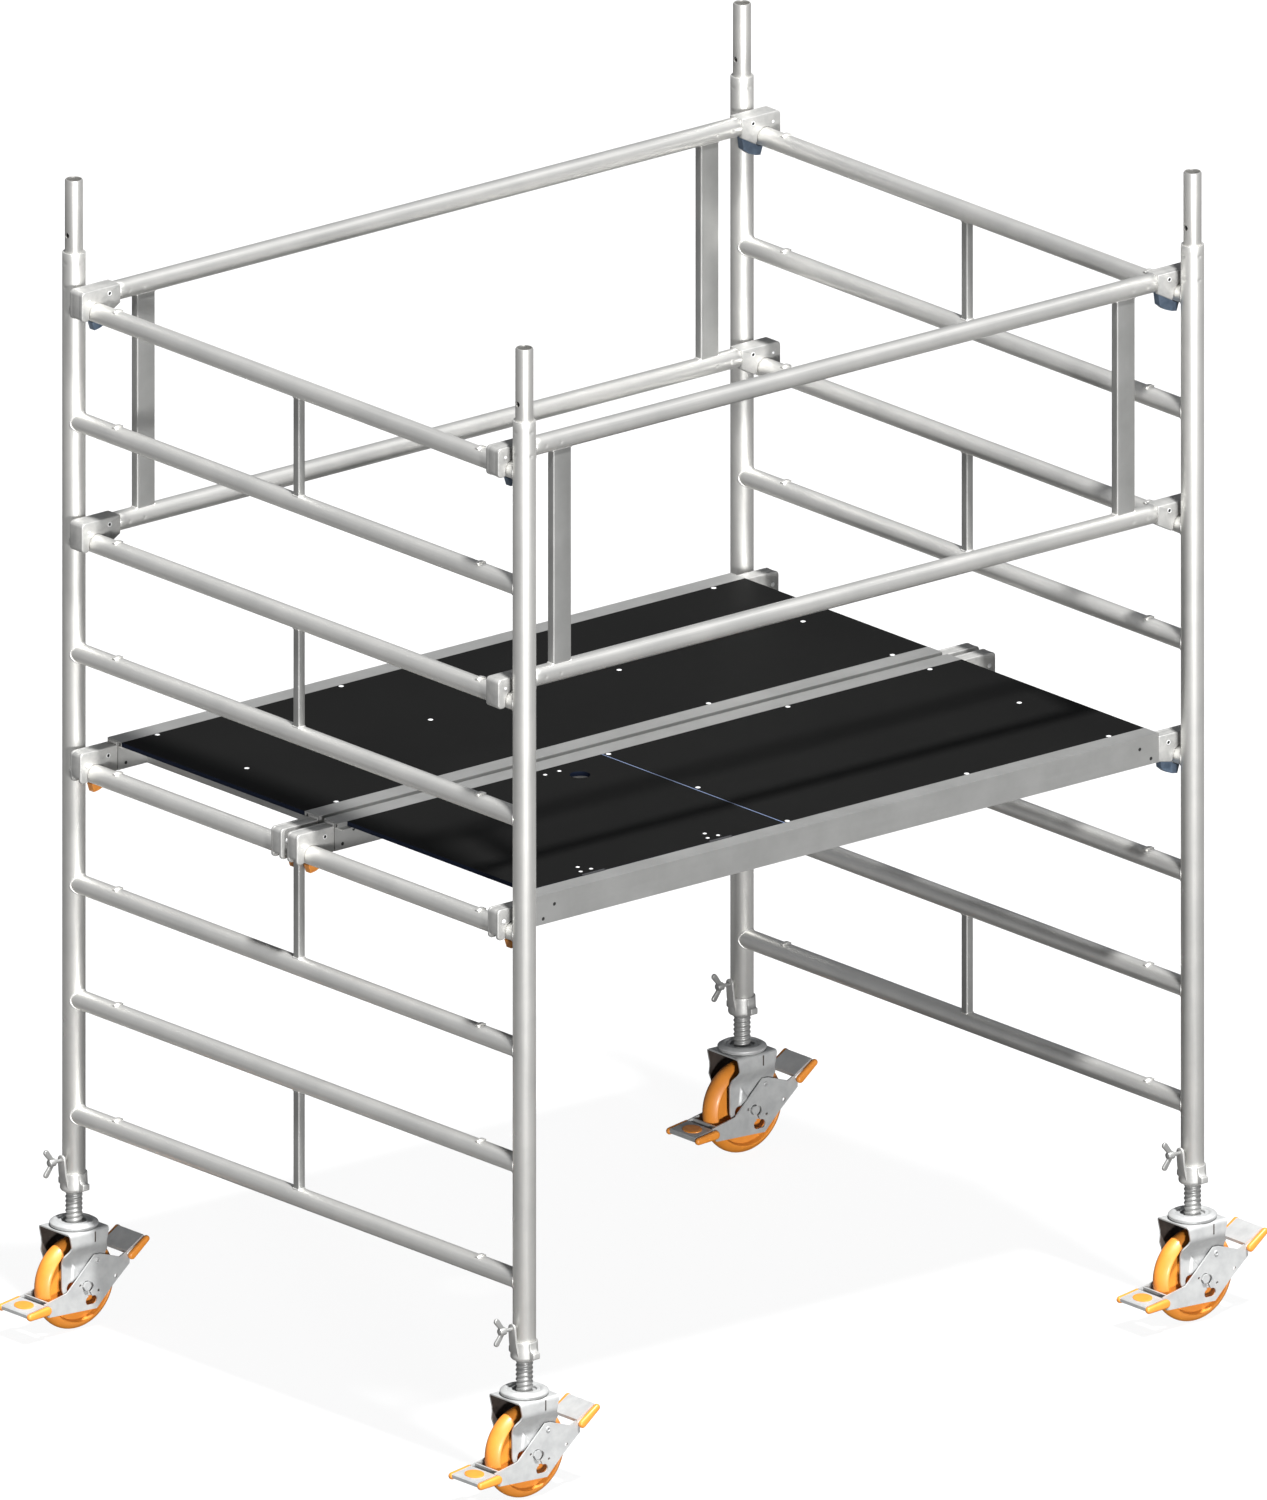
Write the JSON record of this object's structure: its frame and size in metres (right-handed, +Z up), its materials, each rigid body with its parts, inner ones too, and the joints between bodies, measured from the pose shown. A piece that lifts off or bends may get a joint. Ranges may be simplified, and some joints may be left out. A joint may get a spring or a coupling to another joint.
{
  "type": "mobile scaffold tower",
  "caption": "Small rolling aluminium scaffold tower with two hook-on decks, a trapdoor, side guardrails and braked castors on screw-adjusted legs.",
  "frame": {"origin": "on the floor, at the centre of the four castors", "axes": "+X along the decks, +Y across the end frames, +Z up"},
  "size_m": [2.118, 1.544, 2.486],
  "materials": {
    "alloy_tube": "mill finish, fine drawing lines, weld beads at the joints",
    "cast_claw": "satin cast aluminium",
    "zinc_steel": "bright zinc plate",
    "deck_board": "near-black phenolic film on plywood, slight sheen",
    "rivet_disc": "bright white aluminium rivet heads",
    "orange_plastic": "moulded orange plastic, satin",
    "slate_catch": "steel-blue coated catch, satin",
    "orange_catch": "orange coated catch, satin"
  },
  "bodies": {
    "frame": {"posts": "alloy_tube", "spigots": "alloy_tube", "rungs": "alloy_tube", "frame_struts": "alloy_tube", "guard_tubes": "alloy_tube", "guard_struts": "alloy_tube", "guard_claws": "cast_claw", "deck_rails": "alloy_tube", "deck_transoms": "alloy_tube", "deck_claws": "cast_claw", "deck_rivets": "rivet_disc", "far_deck_panel": "deck_board", "near_deck_panel": "deck_board", "hatch_hinge_fixed": "zinc_steel"},
    "hatch": {"hatch_panel": "deck_board", "hatch_fittings": "zinc_steel"},
    "guard_catch_a": {"guard_catch_a": "slate_catch"},
    "guard_catch_b": {"guard_catch_b": "slate_catch"},
    "guard_catch_c": {"guard_catch_c": "slate_catch"},
    "guard_catch_d": {"guard_catch_d": "slate_catch"},
    "orange_catch_1": {"orange_catch_1": "orange_catch"},
    "orange_catch_2": {"orange_catch_2": "orange_catch"},
    "orange_catch_3": {"orange_catch_3": "orange_catch"},
    "orange_catch_4": {"orange_catch_4": "orange_catch"},
    "blue_catch_1": {"blue_catch_1": "slate_catch"},
    "blue_catch_2": {"blue_catch_2": "slate_catch"},
    "blue_catch_3": {"blue_catch_3": "slate_catch"},
    "blue_catch_4": {"blue_catch_4": "slate_catch"},
    "leg_a": {"spindle_a": "zinc_steel"},
    "castor_a": {"fork_a": "zinc_steel", "axle_bolt_a": "zinc_steel"},
    "wheel_a": {"wheel_a": "orange_plastic"},
    "brake_a": {"brake_rocker_a": "zinc_steel", "brake_pads_a": "orange_plastic"},
    "nut_a": {"spindle_nut_a": "cast_claw"},
    "wing_a": {"wing_bolt_a": "zinc_steel"},
    "leg_b": {"spindle_b": "zinc_steel"},
    "castor_b": {"fork_b": "zinc_steel", "axle_bolt_b": "zinc_steel"},
    "wheel_b": {"wheel_b": "orange_plastic"},
    "brake_b": {"brake_rocker_b": "zinc_steel", "brake_pads_b": "orange_plastic"},
    "nut_b": {"spindle_nut_b": "cast_claw"},
    "wing_b": {"wing_bolt_b": "zinc_steel"},
    "leg_c": {"spindle_c": "zinc_steel"},
    "castor_c": {"fork_c": "zinc_steel", "axle_bolt_c": "zinc_steel"},
    "wheel_c": {"wheel_c": "orange_plastic"},
    "brake_c": {"brake_rocker_c": "zinc_steel", "brake_pads_c": "orange_plastic"},
    "nut_c": {"spindle_nut_c": "cast_claw"},
    "wing_c": {"wing_bolt_c": "zinc_steel"},
    "leg_d": {"spindle_d": "zinc_steel"},
    "castor_d": {"fork_d": "zinc_steel", "axle_bolt_d": "zinc_steel"},
    "wheel_d": {"wheel_d": "orange_plastic"},
    "brake_d": {"brake_rocker_d": "zinc_steel", "brake_pads_d": "orange_plastic"},
    "nut_d": {"spindle_nut_d": "cast_claw"},
    "wing_d": {"wing_bolt_d": "zinc_steel"}
  },
  "joints": [
    {"name": "hatch_open", "type": "hinge", "parent": "frame", "child": "hatch", "pos_m": [-0.47125, -0.6363, 1.2738], "axis": [1, 0, 0], "range_deg": [0, 90]},
    {"name": "guard_catch_a_swing", "type": "hinge", "parent": "frame", "child": "guard_catch_a", "pos_m": [-0.85, -0.6653, 2.229], "axis": [0, -1, 0], "range_deg": [0, 35], "stiffness_Nm_per_rad": 0.15, "springref_deg": -57.3},
    {"name": "guard_catch_b_swing", "type": "hinge", "parent": "frame", "child": "guard_catch_b", "pos_m": [0.85, -0.6653, 2.229], "axis": [0, 1, 0], "range_deg": [0, 35], "stiffness_Nm_per_rad": 0.15, "springref_deg": -57.3},
    {"name": "guard_catch_c_swing", "type": "hinge", "parent": "frame", "child": "guard_catch_c", "pos_m": [-0.85, 0.6653, 2.229], "axis": [0, -1, 0], "range_deg": [0, 35], "stiffness_Nm_per_rad": 0.15, "springref_deg": -57.3},
    {"name": "guard_catch_d_swing", "type": "hinge", "parent": "frame", "child": "guard_catch_d", "pos_m": [0.85, 0.6653, 2.229], "axis": [0, 1, 0], "range_deg": [0, 35], "stiffness_Nm_per_rad": 0.15, "springref_deg": -57.3},
    {"name": "orange_catch_1_swing", "type": "hinge", "parent": "frame", "child": "orange_catch_1", "pos_m": [-0.853, -0.667, 1.227], "axis": [0, -1, 0], "range_deg": [0, 35], "stiffness_Nm_per_rad": 0.15, "springref_deg": -57.3},
    {"name": "orange_catch_2_swing", "type": "hinge", "parent": "frame", "child": "orange_catch_2", "pos_m": [-0.853, -0.0255, 1.227], "axis": [0, -1, 0], "range_deg": [0, 35], "stiffness_Nm_per_rad": 0.15, "springref_deg": -57.3},
    {"name": "orange_catch_3_swing", "type": "hinge", "parent": "frame", "child": "orange_catch_3", "pos_m": [-0.853, 0.0255, 1.227], "axis": [0, -1, 0], "range_deg": [0, 35], "stiffness_Nm_per_rad": 0.15, "springref_deg": -57.3},
    {"name": "orange_catch_4_swing", "type": "hinge", "parent": "frame", "child": "orange_catch_4", "pos_m": [-0.853, 0.667, 1.227], "axis": [0, -1, 0], "range_deg": [0, 35], "stiffness_Nm_per_rad": 0.15, "springref_deg": -57.3},
    {"name": "blue_catch_1_swing", "type": "hinge", "parent": "frame", "child": "blue_catch_1", "pos_m": [0.853, -0.667, 1.227], "axis": [0, 1, 0], "range_deg": [0, 35], "stiffness_Nm_per_rad": 0.15, "springref_deg": -57.3},
    {"name": "blue_catch_2_swing", "type": "hinge", "parent": "frame", "child": "blue_catch_2", "pos_m": [0.853, -0.0255, 1.227], "axis": [0, 1, 0], "range_deg": [0, 35], "stiffness_Nm_per_rad": 0.15, "springref_deg": -57.3},
    {"name": "blue_catch_3_swing", "type": "hinge", "parent": "frame", "child": "blue_catch_3", "pos_m": [0.853, 0.0255, 1.227], "axis": [0, 1, 0], "range_deg": [0, 35], "stiffness_Nm_per_rad": 0.15, "springref_deg": -57.3},
    {"name": "blue_catch_4_swing", "type": "hinge", "parent": "frame", "child": "blue_catch_4", "pos_m": [0.853, 0.667, 1.227], "axis": [0, 1, 0], "range_deg": [0, 35], "stiffness_Nm_per_rad": 0.15, "springref_deg": -57.3},
    {"name": "nut_turn_a", "type": "hinge", "parent": "frame", "child": "nut_a", "pos_m": [-0.896, -0.72, 0.32], "axis": [0, 0, 1], "range_deg": [-1800, 7200]},
    {"name": "leg_slide_a", "type": "slide", "parent": "frame", "child": "leg_a", "axis": [0, 0, 1], "range_m": [-0.2, 0.05]},
    {"name": "swivel_a", "type": "hinge", "parent": "leg_a", "child": "castor_a", "pos_m": [-0.896, -0.72, 0.222], "axis": [0, 0, 1], "continuous": true},
    {"name": "wheel_spin_a", "type": "hinge", "parent": "castor_a", "child": "wheel_a", "pos_m": [-0.896, -0.72, 0.1], "axis": [0, 1, 0], "continuous": true},
    {"name": "brake_release_a", "type": "hinge", "parent": "castor_a", "child": "brake_a", "pos_m": [-0.866, -0.72, 0.149], "axis": [0, 1, 0], "range_deg": [0, 10]},
    {"name": "wing_turn_a", "type": "hinge", "parent": "nut_a", "child": "wing_a", "pos_m": [-0.946, -0.72, 0.369], "axis": [-1, 0, 0], "range_deg": [0, 720]},
    {"name": "nut_turn_b", "type": "hinge", "parent": "frame", "child": "nut_b", "pos_m": [0.896, -0.72, 0.32], "axis": [0, 0, 1], "range_deg": [-1800, 7200]},
    {"name": "leg_slide_b", "type": "slide", "parent": "frame", "child": "leg_b", "axis": [0, 0, 1], "range_m": [-0.2, 0.05]},
    {"name": "swivel_b", "type": "hinge", "parent": "leg_b", "child": "castor_b", "pos_m": [0.896, -0.72, 0.222], "axis": [0, 0, 1], "continuous": true},
    {"name": "wheel_spin_b", "type": "hinge", "parent": "castor_b", "child": "wheel_b", "pos_m": [0.896, -0.72, 0.1], "axis": [0, 1, 0], "continuous": true},
    {"name": "brake_release_b", "type": "hinge", "parent": "castor_b", "child": "brake_b", "pos_m": [0.926, -0.72, 0.149], "axis": [0, 1, 0], "range_deg": [0, 10]},
    {"name": "wing_turn_b", "type": "hinge", "parent": "nut_b", "child": "wing_b", "pos_m": [0.846, -0.72, 0.369], "axis": [-1, 0, 0], "range_deg": [0, 720]},
    {"name": "nut_turn_c", "type": "hinge", "parent": "frame", "child": "nut_c", "pos_m": [-0.896, 0.72, 0.32], "axis": [0, 0, 1], "range_deg": [-1800, 7200]},
    {"name": "leg_slide_c", "type": "slide", "parent": "frame", "child": "leg_c", "axis": [0, 0, 1], "range_m": [-0.2, 0.05]},
    {"name": "swivel_c", "type": "hinge", "parent": "leg_c", "child": "castor_c", "pos_m": [-0.896, 0.72, 0.222], "axis": [0, 0, 1], "continuous": true},
    {"name": "wheel_spin_c", "type": "hinge", "parent": "castor_c", "child": "wheel_c", "pos_m": [-0.896, 0.72, 0.1], "axis": [0, 1, 0], "continuous": true},
    {"name": "brake_release_c", "type": "hinge", "parent": "castor_c", "child": "brake_c", "pos_m": [-0.866, 0.72, 0.149], "axis": [0, 1, 0], "range_deg": [0, 10]},
    {"name": "wing_turn_c", "type": "hinge", "parent": "nut_c", "child": "wing_c", "pos_m": [-0.946, 0.72, 0.369], "axis": [-1, 0, 0], "range_deg": [0, 720]},
    {"name": "nut_turn_d", "type": "hinge", "parent": "frame", "child": "nut_d", "pos_m": [0.896, 0.72, 0.32], "axis": [0, 0, 1], "range_deg": [-1800, 7200]},
    {"name": "leg_slide_d", "type": "slide", "parent": "frame", "child": "leg_d", "axis": [0, 0, 1], "range_m": [-0.2, 0.05]},
    {"name": "swivel_d", "type": "hinge", "parent": "leg_d", "child": "castor_d", "pos_m": [0.896, 0.72, 0.222], "axis": [0, 0, 1], "continuous": true},
    {"name": "wheel_spin_d", "type": "hinge", "parent": "castor_d", "child": "wheel_d", "pos_m": [0.896, 0.72, 0.1], "axis": [0, 1, 0], "continuous": true},
    {"name": "brake_release_d", "type": "hinge", "parent": "castor_d", "child": "brake_d", "pos_m": [0.926, 0.72, 0.149], "axis": [0, 1, 0], "range_deg": [0, 10]},
    {"name": "wing_turn_d", "type": "hinge", "parent": "nut_d", "child": "wing_d", "pos_m": [0.846, 0.72, 0.369], "axis": [-1, 0, 0], "range_deg": [0, 720]}
  ],
  "couplings": [
    {"joint": "leg_slide_a", "follows": "nut_turn_a", "m_per_rad": -0.0015915},
    {"joint": "leg_slide_b", "follows": "nut_turn_b", "m_per_rad": -0.0015915},
    {"joint": "leg_slide_c", "follows": "nut_turn_c", "m_per_rad": -0.0015915},
    {"joint": "leg_slide_d", "follows": "nut_turn_d", "m_per_rad": -0.0015915}
  ]
}
